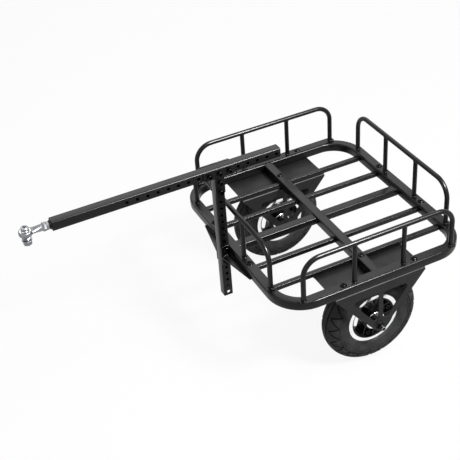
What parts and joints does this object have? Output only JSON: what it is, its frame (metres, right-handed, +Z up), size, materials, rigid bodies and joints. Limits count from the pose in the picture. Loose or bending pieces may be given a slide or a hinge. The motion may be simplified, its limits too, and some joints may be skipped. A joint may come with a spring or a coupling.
{
  "type": "scooter cargo trailer",
  "caption": "Flat square-tube cargo trailer with hoop rails, two pneumatic wheels in folded brackets, and a post and drawbar ending in a spherical rod end.",
  "frame": {"origin": "on the ground under the middle of the whole trailer", "axes": "+X forward along the drawbar, +Y to the trailer's left, +Z up"},
  "size_m": [1.0346, 0.636, 0.5344],
  "materials": {
    "powder_coat": "black satin powder coat on steel",
    "black_oxide": "black oxide screws, oiled",
    "zinc": "bright zinc plate",
    "bright_steel": "ground bright steel",
    "rim": "cast alloy, lip turned and polished, middle painted black",
    "tyre": "moulded black tyre rubber",
    "inner_tube": "butyl rubber",
    "plastic": "moulded black plastic"
  },
  "bodies": {
    "trailer": {"bed_ring": "powder_coat", "cross_beam_screw_left": "black_oxide", "cross_beam_screw_right": "black_oxide", "drawbar": "powder_coat", "drawbar_end_cap": "plastic", "hitch_plug": "powder_coat", "hoop_front": "powder_coat", "hoop_left": "powder_coat", "hoop_rear": "powder_coat", "hoop_right": "powder_coat", "jam_nut": "zinc", "left_axle": "bright_steel", "left_inner_spacer": "zinc", "left_outer_spacer": "zinc", "post": "powder_coat", "post_bracket_bolt_1": "black_oxide", "post_bracket_bolt_2": "black_oxide", "post_bracket_left": "powder_coat", "post_bracket_right": "powder_coat", "right_axle": "bright_steel", "right_inner_spacer": "zinc", "right_outer_spacer": "zinc", "rod_end_housing": "zinc", "rod_end_race": "bright_steel", "slat_grid": "powder_coat", "strip_screw_1": "black_oxide", "strip_screw_2": "black_oxide", "strip_screw_3": "black_oxide", "strip_screw_4": "black_oxide", "strip_screw_5": "black_oxide", "strip_screw_6": "black_oxide", "strip_screw_7": "black_oxide", "strip_screw_8": "black_oxide", "t_plate_bolt_1": "black_oxide", "t_plate_bolt_2": "black_oxide", "t_plate_bolt_3": "black_oxide", "t_plate_bolt_4": "black_oxide", "t_plate_bolt_5": "black_oxide", "t_plate_left": "powder_coat", "t_plate_right": "powder_coat", "wheel_bracket_left": "powder_coat", "wheel_bracket_right": "powder_coat"},
    "left_wheel": {"left_tyre": "tyre", "left_inner_tube": "inner_tube", "left_rim_outer_half": "rim", "left_rim_inner_half": "rim", "left_valve_stem": "plastic", "left_outer_bearing": "bright_steel", "left_inner_bearing": "bright_steel"},
    "right_wheel": {"right_tyre": "tyre", "right_inner_tube": "inner_tube", "right_rim_outer_half": "rim", "right_rim_inner_half": "rim", "right_valve_stem": "plastic", "right_outer_bearing": "bright_steel", "right_inner_bearing": "bright_steel"},
    "hitch_ball": {"rod_end_ball": "bright_steel"},
    "hitch_bolt": {"hitch_bolt": "zinc", "hitch_spacer": "zinc", "hitch_nut": "zinc"}
  },
  "joints": [
    {"name": "left_wheel_spin", "type": "hinge", "parent": "trailer", "child": "left_wheel", "pos_m": [-0.25305, 0.2456, 0.1295], "axis": [0, 1, 0], "continuous": true},
    {"name": "right_wheel_spin", "type": "hinge", "parent": "trailer", "child": "right_wheel", "pos_m": [-0.25305, -0.2456, 0.1295], "axis": [0, 1, 0], "continuous": true},
    {"name": "hitch_pitch", "type": "hinge", "parent": "trailer", "child": "hitch_ball", "pos_m": [0.50125, 0, 0.5191], "axis": [0, 1, 0], "range_deg": [-11, 11]},
    {"name": "hitch_yaw", "type": "hinge", "parent": "hitch_ball", "child": "hitch_bolt", "pos_m": [0.50125, 0, 0.5191], "axis": [0, 0, 1], "continuous": true}
  ]
}
